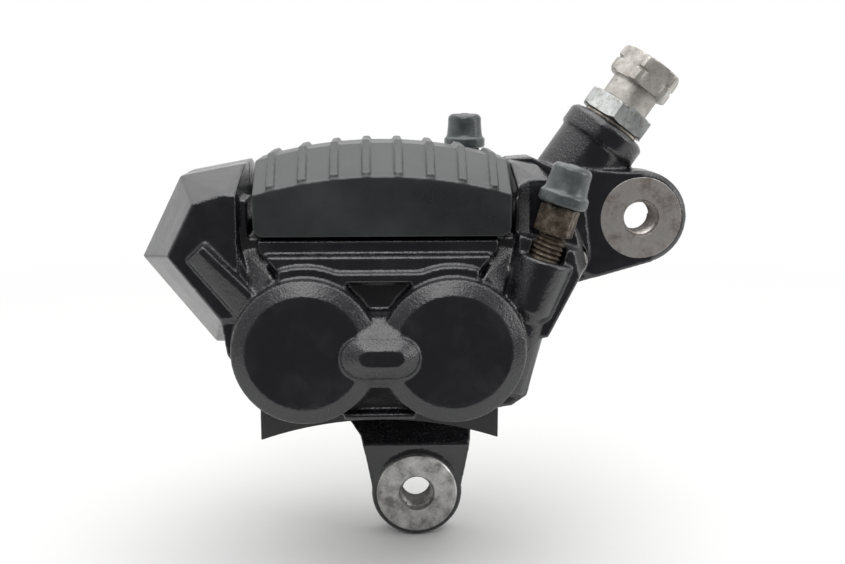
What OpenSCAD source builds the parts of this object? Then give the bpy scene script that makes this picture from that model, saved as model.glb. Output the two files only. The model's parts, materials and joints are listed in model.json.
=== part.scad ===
// Opposed-piston motorcycle brake caliper in two bolted halves.
// +X runs along the disc's travel, +Y from the outer half to the inner half, +Z away from the wheel hub.
// The origin is the centre of the lower mounting hole, halfway through its lug. Millimetres.

/* [Mounting] */
// Distance from the lower to the upper mounting hole along X
mount_dx = 65; // [60:0.5:68]
// Distance from the lower to the upper mounting hole along Z
mount_dz = 83.2; // [80:0.2:86]
// Wall diameter of the tapped mounting holes
mount_hole_d = 8.7; // [6:0.1:10]
// Thickness of the two mounting lugs
lug_t = 12; // [9:0.5:16]
// Outer diameter of the two mounting lugs
lug_d = 27.2; // [24:0.2:30]

/* [Pistons] */
// Piston diameter
piston_d = 30.2; // [26:0.1:30.6]
// Distance between the two pistons of one half
piston_spacing = 38; // [37.6:0.2:39]
// Piston length
piston_len = 19; // [15:0.5:19.5]
// Radial clearance between a piston and its bore
piston_fit = 0.05; // [0.02:0.01:0.1]

/* [Pads] */
// Half of the gap between the two friction faces
pad_gap = 3.5; // [3:0.1:4]
// Thickness of the friction block
friction_t = 5.5; // [2:0.5:5.5]
// Thickness of the steel backing plate
plate_t = 3.5; // [2.5:0.1:3.5]
// Width of a pad
pad_w = 66.8; // [60:0.2:66.8]

/* [Bodies] */
// Distance from the disc's mid-plane to the round end faces
face_y = 40; // [39.5:0.1:41]
// Diameter of the round end bosses
boss_d = 37.6; // [37:0.1:38]
// Distance from the disc's mid-plane to the end blocks' faces
block_y = 32; // [30:0.5:33]
// Half-width of the flat crown of the end blocks
crown_y = 10; // [8:0.5:14]
// Half of the slot that the disc runs in
slot_y = 4.5; // [4:0.1:5]

/* [Pad cover] */
// Distance from the disc's mid-plane to the cover's faces
cover_y = 33; // [32.5:0.1:33.5]
// Wall thickness of the cover
cover_t = 2; // [1.5:0.1:2]
// Number of ribs across the cover
rib_count = 8; // [2:1:10]
// Distance between two ribs
rib_pitch = 8.15; // [4:0.05:8.5]

/* [Fittings] */
// Lean of the inlet fitting from the vertical
inlet_tilt = 35; // [30:1:38]
// Lean of the outer bleed screw from the vertical
bleed_tilt = 16.5; // [14:0.5:18]
// Width across flats of the inlet adapter
adapter_af = 20; // [18:0.5:20.5]
// Width across flats of the union nut
union_af = 18; // [16:0.5:19]

/* [Hidden] */
$fn = 64;
eps = 0.01;

// Places below are [x, z] from the point midway between the pistons, with y from the disc's mid-plane.
lower_lug = [11, -54.5];
upper_lug = lower_lug + [mount_dx, mount_dz];
lug_y = 4;
lug_r = lug_d / 2;
lug_face_r = lug_r - 1.5;
piston_x = piston_spacing / 2;
piston_r = piston_d / 2;
bore_r = piston_r + piston_fit;
boss_r = boss_d / 2;
disc_face_r = boss_r - 4;
ring_y = face_y - 2;
rim_r = boss_r + 2.9;
rim_y = face_y - 4.5;
strip_y = face_y - 6;
deck_y = face_y - 9;
plate_y = pad_gap + friction_t;
piston_y = plate_y + plate_t + 0.1;
wall_y = piston_y + 1.4;
bore_end_y = piston_y + piston_len + 1.2;
pin_wall_y = 27;
pin_xz = [17, 32.5];
pin_r = 2.5;
pad_clear_x = 33.7;
pad_in_r = 102;
pad_out_r = 148;
rotor_r = 150;
rotor_z = -128;
bolt_at = [[-50, 22], [-41.2, 32.6], [43.2, 34.4], [53, 20.5]];
bolt_r = 4;
head_y = 26;
bolt_end_y = 16.5;
cross_at = [48.8, 28];
cross_groove_r = 3.4;
passage_r = 1.5;
bleed_at = [43, 22.7];
bleed_y = 30;
outer_bleed_out = 6.8;
bleed_hex_af = 9.2;
adapter_turn = 17;
union_turn = 9;
inner_bleed_out = 5;
inner_bleed_at = [27.7, 34];
inner_bleed_y = 44;
bleed_r = 4;
inlet_at = [66.4, 52];
inlet_y = 16;
inlet_boss_r = 11.4;
inlet_top = 3.4;
inlet_hole_r = 6;
washer_t = 1.2;
adapter_base = inlet_top + washer_t + 0.05;
adapter_h = 5.6;
collar_h = 6.6;
union_base = adapter_base + adapter_h + 0.1;
union_h = 8.4;
union_port_r = 4.5;
cover_left = [-33.3, -31.8];
cover_right = [35.2, 34];
cover_mid = 1.1;
rib_w = 2.1;
cover_low = 29;
cover_crown_r = 125;
cover_front_r = 118;
cover_axis_z = -73.6;
cover_crown_y = 9;

// Outline of an end block at its face, then at its crown; the pair makes the bevel between them.
left_face = [[-36, 39.5], [-39, 40], [-46.9, 37.5], [-53.7, 24.1], [-40.8, 7.5], [-36, 7.5]];
left_crown = [[-36, 46], [-53.4, 42.7], [-64.4, 20.8], [-45.2, -3.4], [-36, -3.4]];
right_face = [[36, 39.7], [46, 40.4], [50, 27], [52, 18], [44, 2], [36, 2]];
right_crown = [[36, 46.3], [43.6, 45.2], [47.6, 41.5], [55.3, 27.3], [58.9, 19.3], [55.8, 15.2], [45, 0],
    [36, -2]];
inner_face = [[36, 40], [46, 42], [51, 37], [56, 25], [57, 15], [44, 2], [36, 2]];
inner_crown = [[36, 46.3], [43, 46.8], [58, 40], [61, 17.6], [58, 12], [47, -3], [36, -3]];
housing = [[-41, 8], [-39.6, -2], [-33, -13], [-24, -18.4], [24, -18.4], [35, -16.6], [39, -13.8], [41, -5],
    [43, 4], [40, 28], [-37, 28]];
web = [[38, 38.5], [46, 41], [58, 42.6], upper_lug + [0, 13.2], upper_lug + [4, -12.9], [57, 9.3], [47, -3],
    [38, -3]];
arm = [[-14, -15], [-12, -31], [-9, -34], [-5.8, -37.6], [-4.2, -44], lower_lug + [-13.4, 1],
    lower_lug + [13.2, 1], [25.6, -47], [27.6, -36], [29.4, -32.5], [34, -28], [34, -15]];

// The arm's outline in Y and Z: it runs back behind the inner pad
arm_side = [[lug_y + 0.8, -60], [lug_y + 0.8, -10], [deck_y - 2, -10], [deck_y - 2, -19],
    [lug_y + lug_t - 0.8, -40], [lug_y + lug_t - 0.8, -60]];

// Moves a shape from the piston frame to the part's own frame
module placed() translate([-lower_lug.x, -lug_y - lug_t / 2, -lower_lug.y]) children();
// Raises an outline in X and Z along Y, from y0 to y1
module along_y(y0, y1) translate([0, y1, 0]) rotate([90, 0, 0]) linear_extrude(y1 - y0) children();
// A round bar along Y
module bar_y(p, r, y0, y1) along_y(y0, y1) translate(p) circle(r);
// A cone along Y, with radius ra at y0 and rb at y1
module cone_y(p, ra, rb, y0, y1) translate([p.x, y1, p.y]) rotate([90, 0, 0]) cylinder(y1 - y0, rb, ra);
// Mirrors a shape of the outer half into the inner half
module inner() mirror([0, 1, 0]) children();
// The two pistons of a half
module each_piston() for (s = [-1, 1]) translate([s * piston_x, 0, 0]) children();
// A round fluid passage from point a to point b
module drill(a, b, r) {
    d = b - a;
    translate(a) rotate([0, acos(d.z / norm(d)), atan2(d.y, d.x)]) cylinder(norm(d), r = r);
}

// The two chambers of a half with their seal grooves, cut from the housing
module piston_bores() each_piston() {
    bar_y([0, 0], bore_r, -bore_end_y, 0);
    bar_y([0, 0], bore_r + 2.1, -wall_y - 5.2, -wall_y - 2.8);
    bar_y([0, 0], bore_r + 2.4, -wall_y - 11, -wall_y - 8);
}

// The space for the pads, and the slot for the disc; it leans forward under the inner pad to leave the arm
module pad_and_disc_space() {
    translate([-pad_clear_x, 0, 0]) rotate([90, 0, 90]) linear_extrude(2 * pad_clear_x)
        polygon([[-wall_y, 70], [wall_y, 70], [wall_y, -31.5], [lug_y - 0.4, -40], [-wall_y, -40]]);
    bar_y([0, rotor_z], rotor_r + 3, -slot_y, slot_y, $fn = 200);
}

// The round bosses, the rims over them and the raised strips, on the front of the outer half
module boss_shapes() {
    each_piston() {
        bar_y([0, 0], boss_r, -ring_y, -wall_y);
        bar_y([0, 0], boss_r + 0.9, -deck_y, -wall_y);
        cone_y([0, 0], disc_face_r, boss_r, -face_y, -ring_y);
    }
    difference() {
        union() {
            intersection() {
                each_piston() bar_y([0, 0], rim_r, -rim_y, -wall_y);
                translate([-25.6, -rim_y, 11]) cube([51.2, rim_y, 20]);
            }
            along_y(-rim_y, -deck_y) translate([-25.6, 17.4]) square([51.2, 2.6]);
            along_y(-strip_y, -deck_y) polygon([[-25.5, 17.4], [25.5, 17.4], [25.5, 19.6], [29, 24.2],
                [-29, 24.2], [-25.5, 19.6]]);
        }
        along_y(-rim_y - 1, -deck_y) polygon([[-9.3, 17.4], [9.3, 17.4], [2.9, 9.8], [-2.9, 9.8]]);
    }
    along_y(-strip_y, -wall_y) translate([-9.4, -19.2]) square([18.8, 1.8]);
}

// The housing of a half behind the bosses, with the wall that holds the pad pins and ledges beside the cover
module housing_shape() {
    along_y(-deck_y, -wall_y) polygon(housing);
    along_y(-pin_wall_y, -wall_y) {
        translate([-29.8, 20]) square([61.6, 17]);
        translate([-36.5, 20]) square([2.7, 18]);
        translate([35.6, 20]) square([0.9, 18]);
    }
}

// The hollow corners beside the bosses: a pocket in the housing's front, and the ramp that runs up out of it
corner = [[-31.9, 14.3], [-27.1, 19.1], [-30.9, 25.5], [-31, 28.4], [-36.2, 28.4], [-35.5, 24.4]];
ramp_foot = [[-24, 14], [-28, 10]];
module corner_pocket() along_y(-strip_y - 2, -pin_wall_y) polygon(corner);
module corner_ramp() hull() {
    along_y(-strip_y - 0.5, -strip_y - 0.4) polygon([corner[0], corner[1], ramp_foot[0], ramp_foot[1]]);
    along_y(-pin_wall_y - 0.1, -pin_wall_y + 7)
        polygon([corner[0], corner[5], corner[2], corner[1], ramp_foot[0], ramp_foot[1]]);
}

// A block whose outline widens from its face to its crown
module bevelled_block(face, crown) {
    hull() {
        along_y(-block_y, -block_y + eps) polygon(face);
        along_y(-crown_y - eps, -crown_y) polygon(crown);
    }
    along_y(-crown_y, 0) polygon(crown);
}

// The bridge between the bosses, with its upper and lower chamfers and the raised bar on it
module centre_boss() {
    intersection() {
        translate([-6, 0, 0]) rotate([90, 0, 90]) linear_extrude(12) polygon([[-wall_y, 9.6],
            [-deck_y - 3, 9.6], [-ring_y + 1.6, 9], [-face_y - 0.4, 5.2], [-face_y - 0.4, -6.3],
            [-ring_y + 0.4, -9.6], [-wall_y, -9.6]]);
        along_y(-face_y - 3, -wall_y) polygon([[-3.3, 9.6], [3.4, 9.6], [5.6, 5.2], [5.6, -6.3], [2.9, -9.6],
            [-2.9, -9.6], [-5.8, -6.3], [-5.7, 5.2]]);
    }
    along_y(-face_y - 1, -ring_y) translate([0.2, -0.8]) stadium(20, 10.4);
    hull() {
        along_y(-face_y - 1.1, -face_y - 1) translate([0.2, -0.8]) stadium(20, 10.4);
        along_y(-face_y - 4, -face_y - 3.9) translate([0.7, -0.4]) stadium(10.9, 4.6);
    }
}

// A bar outline with round ends
module stadium(len, wid) {
    square([len - wid, wid], center = true);
    for (s = [-1, 1]) translate([s * (len - wid) / 2, 0]) circle(wid / 2, $fn = 32);
}

module bolt_holes(r, y0, y1) for (p = bolt_at) bar_y(p, r, y0, y1);

// Places a shape on the outer bleed screw's axis, with the top of its boss at zero
module on_bleed() translate([bleed_at.x, -bleed_y, bleed_at.y]) rotate([0, bleed_tilt, 0]) children();
module on_inner_bleed() translate([inner_bleed_at.x, inner_bleed_y, inner_bleed_at.y]) children();
// Places a shape on the inlet's axis
module on_inlet() translate([inlet_at.x, inlet_y, inlet_at.y]) rotate([0, inlet_tilt, 0]) children();

module bleed_boss() {
    translate([0, 0, -0.5]) cylinder(0.5, 7.6, 7.1);
    translate([0, 0, -14]) cylinder(13.5, 6.1, 7.6);
    translate([0, 0, -16.7]) cylinder(2.7, 4, 6.1);
}

// The clear space round the outer bleed screw: a slanted wall beside the cover, stepped back above a ridge
module bleed_recess() {
    on_bleed() {
        cylinder(50, r = bleed_r + 0.9);
        translate([0, 0, 4.2]) cylinder(50, r = 7);
        intersection() {
            translate([-60, -60, 4.2]) cube([120, 120, 60]);
            translate([0, 0, -26]) rotate([0, -bleed_tilt, 0]) linear_extrude(110)
                translate([-bleed_at.x, bleed_y])
                    polygon([[37.2, -33.3], [47.2, -23.5], [70, -22], [70, -60], [37.2, -60]]);
        }
    }
    translate([0, 0, 38.4]) linear_extrude(12)
        polygon([[36.4, -33.3], [46.4, -23.4], [70, -21], [70, -60], [36.4, -60]]);
}

// Fluid passages of the outer half: from the crossover to the chambers, between them, and to the bleed screw
module outer_passages() {
    bar_y(cross_at, passage_r, -15, 1);
    bar_y(cross_at, cross_groove_r, -1.6, 1);
    drill([cross_at.x, -14, cross_at.y], [31.5, 0.4 - bore_end_y, 5], passage_r);
    drill([-6, 1 - bore_end_y, 0], [6, 1 - bore_end_y, 0], 1.2);
    drill([38.4, -31, 7.4], [30, 1 - bore_end_y, 3], 1.2);
}

module outer_body() placed() color("#18181b") difference() {
    union() {
        difference() {
            union() {
                housing_shape();
                boss_shapes();
                bevelled_block(left_face, left_crown);
            }
            for (s = [0, 1]) mirror([s, 0, 0]) corner_pocket();
        }
        difference() {
            bevelled_block(right_face, right_crown);
            bleed_recess();
        }
        for (s = [0, 1]) mirror([s, 0, 0]) corner_ramp();
        each_piston() bar_y([0, 0], boss_r, -ring_y, -wall_y);
        centre_boss();
        // slanted bar on the left block
        hull() {
            along_y(-block_y - 3.4, -block_y - 3.3)
                polygon([[-44.2, 27.3], [-45.2, 26.2], [-32, 13], [-31, 14]]);
            along_y(-block_y - 1.2, -block_y)
                polygon([[-44, 27.6], [-48.6, 23.2], [-36.4, 8.6], [-31, 13.6]]);
        }
        on_bleed() bleed_boss();
        drill([38.2, -27.6, 7], [33.2, -27.6, -12.4], 6.3);
    }
    pad_and_disc_space();
    piston_bores();
    bolt_holes(bolt_r + 0.04, -bolt_end_y - 1.5, 1);
    outer_passages();
    for (s = [-1, 1]) bar_y([s * pin_xz.x, pin_xz.y], pin_r + 0.05, -deck_y - 3, 0);
    on_bleed() {
        translate([0, 0, -14]) cylinder(15, r = bleed_r + 0.05);
        translate([0, 0, -15.4]) cylinder(1.5, 1.6, bleed_r + 0.05);
        cylinder(outer_bleed_out, r = bleed_r + 0.4);
        translate([0, 0, outer_bleed_out - 0.4]) cylinder(9, r = bleed_hex_af / sqrt(3) + 0.4);
    }
}

module lug(p) {
    bar_y(p, lug_r, lug_y + 1.2, lug_y + lug_t);
    cone_y(p, lug_face_r, lug_r, lug_y, lug_y + 1.2);
}

module lug_hole(p) {
    bar_y(p, mount_hole_d / 2, lug_y - 1, lug_y + lug_t + 1);
    cone_y(p, mount_hole_d / 2 + 1.2, mount_hole_d / 2, lug_y - eps, lug_y + 1.2);
    cone_y(p, mount_hole_d / 2, mount_hole_d / 2 + 1.2, lug_y + lug_t - 1.2, lug_y + lug_t + eps);
}

module inner_body() placed() color("#18181b") difference() {
    union() {
        inner() {
            housing_shape();
            boss_shapes();
            bevelled_block(left_face, left_crown);
            bevelled_block(inner_face, inner_crown);
        }
        along_y(crown_y - 6, lug_y + lug_t - 1) polygon(web);
        intersection() {
            along_y(0, deck_y) polygon(arm);
            translate([-60, 0, 0]) rotate([90, 0, 90]) linear_extrude(120) polygon(arm_side);
        }
        lug(lower_lug);
        lug(upper_lug);
        on_inlet() {
            translate([0, 0, -26]) cylinder(26 + inlet_top - 1.2, r = inlet_boss_r);
            translate([0, 0, inlet_top - 6.4]) cylinder(5.2, r = inlet_boss_r + 0.9);
            translate([0, 0, inlet_top - 1.2]) cylinder(1.2, inlet_boss_r + 0.9, inlet_boss_r - 0.6);
        }
        on_inner_bleed() {
            translate([0, 0, -24]) cylinder(22.2, r = 7.2);
            translate([0, 0, -1.8]) cylinder(1.8, 7.2, 6);
        }
        along_y(deck_y - 2, inner_bleed_y) translate([inner_bleed_at.x - 5, 4]) square([10, 24]);
    }
    pad_and_disc_space();
    inner() piston_bores();
    bolt_holes(bolt_r + 0.3, -1, head_y + 1);
    bolt_holes(7, head_y, block_y + 12);
    bar_y(cross_at, passage_r, -1, inlet_y + 1);
    drill([cross_at.x, inlet_y, cross_at.y], [31.5, bore_end_y - 0.4, 5], passage_r);
    drill([-6, bore_end_y - 1, 0], [6, bore_end_y - 1, 0], 1.2);
    drill([inner_bleed_at.x, inner_bleed_y, inner_bleed_at.y - 15], [inner_bleed_at.x, bore_end_y - 1, 8],
        passage_r);
    for (s = [-1, 1]) bar_y([s * pin_xz.x, pin_xz.y], pin_r + 0.05, 0, deck_y + 3);
    lug_hole(lower_lug);
    lug_hole(upper_lug);
    on_inlet() {
        translate([0, 0, -12]) cylinder(20, r = inlet_hole_r + 0.05);
        translate([0, 0, -30.6]) cylinder(19.6, r = 1.6);
    }
    on_inner_bleed() {
        translate([0, 0, -14]) cylinder(15, r = bleed_r + 0.05);
        translate([0, 0, -15.4]) cylinder(1.5, 1.6, bleed_r + 0.05);
    }
}

// Socket-head screws that pull the halves together
module body_bolts() placed() color("#6d6d70") for (p = bolt_at) difference() {
    union() {
        bar_y(p, bolt_r, -bolt_end_y, head_y);
        bar_y(p, 6.5, head_y, head_y + 7);
        cone_y(p, 6.5, 5.9, head_y + 7, head_y + 8);
    }
    along_y(head_y + 4, head_y + 9) translate(p) circle(3.46, $fn = 6);
}

module ring_y_axis(p, ri, ro, y0, y1) difference() {
    bar_y(p, ro, y0, y1);
    bar_y(p, ri, y0 - 1, y1 + 1);
}

// Square ring that seals the fluid passage between the halves
module crossover_seal() placed() color("#202020")
    ring_y_axis(cross_at, 1.9, cross_groove_r - 0.05, -1.55, 0);

// Cup piston, open towards the pad, with a groove for the dust seal's lip
module piston() color("#b9b9bd") difference() {
    union() {
        bar_y([0, 0], piston_r, -piston_y - piston_len + 1, -piston_y);
        cone_y([0, 0], piston_r - 1, piston_r, -piston_y - piston_len, -piston_y - piston_len + 1);
    }
    bar_y([0, 0], piston_r - 3.4, -piston_y - piston_len + 5, 1);
    ring_y_axis([0, 0], piston_r - 0.8, piston_r + 1, -piston_y - 2.6, -piston_y - 1.2);
}
module outer_left_piston() placed() translate([-piston_x, 0, 0]) piston();
module outer_right_piston() placed() translate([piston_x, 0, 0]) piston();
module inner_left_piston() placed() inner() translate([-piston_x, 0, 0]) piston();
module inner_right_piston() placed() inner() translate([piston_x, 0, 0]) piston();

module fluid_seals() color("#2a2a2a") each_piston()
    ring_y_axis([0, 0], piston_r + 0.03, bore_r + 2.35, -wall_y - 10.95, -wall_y - 8.05);
module dust_seals() color("#2a2a2a") each_piston()
    ring_y_axis([0, 0], piston_r + 0.03, bore_r + 2.05, -wall_y - 5.15, -wall_y - 2.85);
module outer_fluid_seals() placed() fluid_seals();
module inner_fluid_seals() placed() inner() fluid_seals();
module outer_dust_seals() placed() dust_seals();
module inner_dust_seals() placed() inner() dust_seals();

// The band that a pad sweeps on the disc, cut to the pad's width
module pad_band(half_w, r_in, r_out) intersection() {
    translate([0, rotor_z]) difference() {
        circle(r_out, $fn = 200);
        circle(r_in, $fn = 200);
    }
    translate([-half_w, -60]) square([2 * half_w, 120]);
}

// Steel plate with two ears that hang on the pad pins
module backing_plate() color("#1d1d1e") along_y(-plate_y - plate_t, -plate_y) difference() {
    union() {
        pad_band(pad_w / 2, pad_in_r, pad_out_r);
        for (s = [-1, 1]) translate([s * pin_xz.x, 0]) {
            translate([-7, 0]) square([14, pin_xz.y - 3]);
            translate([0, pin_xz.y - 3]) circle(7);
        }
    }
    for (s = [-1, 1]) translate([s * pin_xz.x, pin_xz.y]) circle(pin_r + 0.3);
}

// Friction block with a wear groove down its middle
module friction() color("#3a3634") difference() {
    along_y(-plate_y, -pad_gap) pad_band(pad_w / 2 - 1.2, pad_in_r + 1.4, pad_out_r - 1);
    translate([-1.2, -pad_gap - 3, -40]) cube([2.4, 4, 80]);
}
module outer_backing_plate() placed() backing_plate();
module outer_friction() placed() friction();
module inner_backing_plate() placed() inner() backing_plate();
module inner_friction() placed() inner() friction();

// Pin that the pads hang on, with a head on the inner side and a cross hole for its clip
module pad_pin(s) color("#8d8d8f") difference() {
    union() {
        bar_y([s * pin_xz.x, pin_xz.y], pin_r, -pin_wall_y - 3.6, pin_wall_y);
        bar_y([s * pin_xz.x, pin_xz.y], 3.6, pin_wall_y, pin_wall_y + 1.6);
    }
    translate([s * pin_xz.x, -pin_wall_y - 1.8, pin_xz.y - 5]) cylinder(10, r = 0.7);
}
module left_pad_pin() placed() pad_pin(-1);
module right_pad_pin() placed() pad_pin(1);

// Wire clip through the pin's cross hole, with one leg bent back round the pin
module pin_clip(s) color("#9b9b9d") translate([s * pin_xz.x, -pin_wall_y - 1.8, pin_xz.y]) {
    translate([0, 0, -3.1]) cylinder(7.6, r = 0.6);
    translate([0, 0, 4.5]) rotate([0, 90, 0]) cylinder(4, r = 0.6);
    translate([4, 0, -2.8]) cylinder(7.3, r = 0.6);
    for (x = [0, 4]) translate([x, 0, 4.5]) sphere(0.6);
}
module left_pin_clip() placed() pin_clip(-1);
module right_pin_clip() placed() pin_clip(1);

// Sheet spring that lies on the pad ears and is held down by the cover
module pad_spring() placed() color("#a8a8a6") along_y(-8, 8)
    polygon([[-26, 37.2], [-17, 37.2], [-9, 39.4], [9, 39.4], [17, 37.2], [26, 37.2], [28.5, 39.6],
        [28, 40.1], [25.7, 37.9], [17.1, 37.9], [9.1, 40.1], [-9.1, 40.1], [-17.1, 37.9], [-25.7, 37.9],
        [-28, 40.1], [-28.5, 39.6]]);

// Solid that the cover's crown and slopes are turned from, about an axis parallel to Y
module cover_turning(grow, half_y) translate([cover_mid, 0, cover_axis_z]) rotate([90, 0, 0])
    rotate_extrude($fn = 180) polygon([[60, -half_y], [cover_front_r + grow, -half_y],
        [cover_crown_r + grow, -cover_crown_y], [cover_crown_r + grow, cover_crown_y],
        [cover_front_r + grow, half_y], [60, half_y]]);

// Front outline of the cover, with round lower corners
module cover_outline() {
    translate([cover_left[1] - 3, cover_low + 2.6]) square([cover_right[1] - cover_left[1] + 6, 30]);
    translate([cover_left[1] + 2.6, cover_low]) square([cover_right[1] - cover_left[1] - 5.2, 30]);
    for (x = [cover_left[1] + 2.6, cover_right[1] - 2.6]) translate([x, cover_low + 2.6]) circle(2.6);
}

// Plan of the cover: a little wider at its crown than at its two faces
module cover_plan(inset) linear_extrude(80) polygon([
    [cover_left[1] + inset, -cover_y], [cover_right[1] - inset, -cover_y],
    [cover_right[0] - inset, -cover_crown_y], [cover_right[0] - inset, cover_crown_y],
    [cover_right[1] - inset, cover_y], [cover_left[1] + inset, cover_y],
    [cover_left[0] + inset, cover_crown_y], [cover_left[0] + inset, -cover_crown_y]]);

// Ribbed moulded cover over the pads
module pad_cover() placed() color("#26282a") {
    difference() {
        intersection() {
            cover_turning(0, cover_y);
            along_y(-cover_y - 1, cover_y + 1) cover_outline();
            cover_plan(0);
        }
        intersection() {
            cover_turning(-cover_t, cover_y - cover_t);
            cover_plan(cover_t);
        }
    }
    intersection() {
        difference() {
            cover_turning(1, cover_y);
            cover_turning(-0.5, cover_y);
        }
        for (i = [0 : rib_count - 1]) translate([cover_mid, 0, cover_axis_z])
            rotate([0, (i - (rib_count - 1) / 2) * atan(rib_pitch / cover_front_r), 0])
                translate([-rib_w / 2, 0.4 - cover_y, 0]) cube([rib_w, 2 * cover_y - 0.8, 300]);
    }
}

// Bleed screw: thread, hexagon and hose nipple, drilled through
module bleed_screw(out) color("#6e5a44") {
    translate([0, 0, -13.8]) cylinder(13.8 + out, r = bleed_r);
    translate([0, 0, -15.2]) cylinder(1.4, 1.6, bleed_r);
    translate([0, 0, out]) cylinder(7.4, r = bleed_hex_af / sqrt(3), $fn = 6);
    translate([0, 0, out + 7.4]) cylinder(7, r = 3);
    translate([0, 0, out + 14.4]) cylinder(1.2, 3, 3.6);
    translate([0, 0, out + 15.6]) cylinder(1.6, 3.6, 2.6);
}

// Rubber dust cap pushed over the nipple
module bleed_cap(out) color("#3b4043") difference() {
    union() {
        translate([0, 0, out + 7.6]) cylinder(3.4, r = 6.5);
        translate([0, 0, out + 11]) cylinder(5, 5.9, 5.3);
        translate([0, 0, out + 16]) cylinder(2.6, 5.3, 4);
    }
    translate([0, 0, out + 7]) cylinder(10.5, r = 3.75);
}
module outer_bleed_screw() placed() on_bleed() bleed_screw(outer_bleed_out);
module outer_bleed_cap() placed() on_bleed() bleed_cap(outer_bleed_out);
module inner_bleed_screw() placed() on_inner_bleed() bleed_screw(inner_bleed_out);
module inner_bleed_cap() placed() on_inner_bleed() bleed_cap(inner_bleed_out);

// Zinc-plated adapter: thread, hexagon and the spigot that the union nut screws on
module inlet_adapter() placed() on_inlet() color("#a3a6a8") difference() {
    union() {
        translate([0, 0, -11]) cylinder(11 + adapter_base, r = inlet_hole_r);
        translate([0, 0, adapter_base]) rotate(adapter_turn)
            cylinder(adapter_h, r = adapter_af / sqrt(3), $fn = 6);
        translate([0, 0, adapter_base + adapter_h]) cylinder(6, r = 4.8);
    }
    translate([0, 0, -12]) cylinder(40, r = 1.8);
}
module inlet_washer() placed() on_inlet() color("#9a8a72") translate([0, 0, inlet_top + 0.02]) difference() {
    cylinder(washer_t, r = 8.8);
    translate([0, 0, -1]) cylinder(4, r = inlet_hole_r + 0.1);
}
module union_nut() placed() on_inlet() color("#8f8b84") translate([0, 0, union_base]) difference() {
    union() {
        cylinder(collar_h, r = 7.4);
        translate([0, 0, collar_h]) rotate(union_turn) cylinder(union_h, r = union_af / sqrt(3), $fn = 6);
    }
    translate([0, 0, -1]) cylinder(8, r = 4.85);
    translate([0, 0, 6]) cylinder(20, r = 1.8);
    translate([0, 0, collar_h + union_h - 8]) cylinder(9, r = union_port_r);
}

outer_body();
inner_body();
body_bolts();
crossover_seal();
outer_left_piston();
outer_right_piston();
inner_left_piston();
inner_right_piston();
outer_fluid_seals();
inner_fluid_seals();
outer_dust_seals();
inner_dust_seals();
outer_backing_plate();
outer_friction();
inner_backing_plate();
inner_friction();
left_pad_pin();
right_pad_pin();
left_pin_clip();
right_pin_clip();
pad_spring();
pad_cover();
outer_bleed_screw();
outer_bleed_cap();
inner_bleed_screw();
inner_bleed_cap();
inlet_adapter();
inlet_washer();
union_nut();
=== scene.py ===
import json
import math

import bmesh
import bpy
from mathutils import Matrix, Vector, noise


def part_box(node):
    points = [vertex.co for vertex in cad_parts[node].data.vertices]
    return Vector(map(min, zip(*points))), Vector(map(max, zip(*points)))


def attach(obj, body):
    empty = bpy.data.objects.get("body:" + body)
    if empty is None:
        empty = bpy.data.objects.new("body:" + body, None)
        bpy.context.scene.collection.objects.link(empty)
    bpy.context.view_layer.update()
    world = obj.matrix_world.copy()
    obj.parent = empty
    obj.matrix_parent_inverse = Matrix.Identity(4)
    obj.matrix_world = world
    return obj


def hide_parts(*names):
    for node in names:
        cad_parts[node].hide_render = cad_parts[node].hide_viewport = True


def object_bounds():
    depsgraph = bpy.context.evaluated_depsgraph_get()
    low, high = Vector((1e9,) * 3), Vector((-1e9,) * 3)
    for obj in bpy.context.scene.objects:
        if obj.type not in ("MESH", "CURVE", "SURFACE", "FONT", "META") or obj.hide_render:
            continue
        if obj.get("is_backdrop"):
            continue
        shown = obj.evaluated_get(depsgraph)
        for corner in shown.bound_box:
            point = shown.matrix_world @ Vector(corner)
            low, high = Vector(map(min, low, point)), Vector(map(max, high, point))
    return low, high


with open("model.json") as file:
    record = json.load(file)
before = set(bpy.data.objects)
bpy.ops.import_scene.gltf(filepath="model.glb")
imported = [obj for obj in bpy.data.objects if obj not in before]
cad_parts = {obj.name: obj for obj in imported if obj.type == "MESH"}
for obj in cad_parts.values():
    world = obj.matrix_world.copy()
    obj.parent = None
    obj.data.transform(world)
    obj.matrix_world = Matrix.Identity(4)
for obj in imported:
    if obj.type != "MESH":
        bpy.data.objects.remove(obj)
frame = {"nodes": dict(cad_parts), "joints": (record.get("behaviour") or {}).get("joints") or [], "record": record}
cad_low, cad_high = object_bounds()

# ---- Outer half ----
# The half on the wheel's outer side: sand-cast aluminium with two round cylinder ends, sprayed gloss black
# over the cast skin. The remesh and the smoothing give the CAD solid its cast fillets and soft edges.


def linked(name, data):
    """A new object for a mesh, a light or a camera, in the scene."""
    piece = bpy.data.objects.new(name, data)
    bpy.context.scene.collection.objects.link(piece)
    return piece


def settled(piece):
    """Turns a piece's modifiers into plain mesh."""
    bpy.context.view_layer.update()
    shape = piece.evaluated_get(bpy.context.evaluated_depsgraph_get())
    plain = bpy.data.meshes.new_from_object(shape)
    piece.modifiers.clear()
    piece.data = plain
    return piece


def copy_of(node, name):
    """A merged copy of a CAD node's mesh, without its materials."""
    mesh = frame["nodes"][node].data.copy()
    mesh.materials.clear()
    build = bmesh.new()
    build.from_mesh(mesh)
    bmesh.ops.remove_doubles(build, verts=build.verts, dist=2e-6)
    bmesh.ops.dissolve_limit(build, angle_limit=0.01, verts=build.verts, edges=build.edges)
    build.to_mesh(mesh)
    build.free()
    return linked(name, mesh)


def shade(piece, material, angle=None):
    """Smooth shading, sharp above an angle in degrees, and one material."""
    piece.data.materials.clear()
    piece.data.materials.append(material)
    piece.data.polygons.foreach_set("use_smooth", [True] * len(piece.data.polygons))
    if angle is not None:
        piece.data.set_sharp_from_angle(angle=math.radians(angle))
    return piece


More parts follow.
